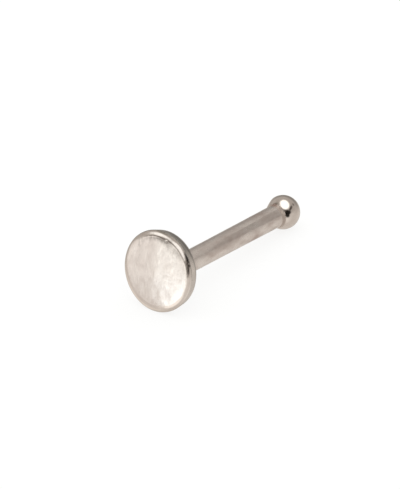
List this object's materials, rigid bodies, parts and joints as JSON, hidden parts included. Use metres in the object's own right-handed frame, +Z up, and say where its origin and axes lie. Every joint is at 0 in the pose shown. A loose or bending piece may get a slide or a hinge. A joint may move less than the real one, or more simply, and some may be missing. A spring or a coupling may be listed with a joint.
{
  "type": "nose stud",
  "caption": "Straight nose stud, also called a nose bone: a flat round disc head on a round post with a small ball end, lying on its side.",
  "frame": {"origin": "on the surface that the stud lies on, under the middle of its bounding box", "axes": "+Z up from that surface, +Y along the stud from the head to the ball end, X across it; the post lies in the YZ plane, within 0.01 mm"},
  "size_m": [0.003, 0.0086, 0.0029],
  "materials": {
    "silver": "sterling silver, softly polished on the head and ball, drawn satin on the post"
  },
  "bodies": {
    "root": {"nose_stud": "silver"}
  },
  "joints": []
}
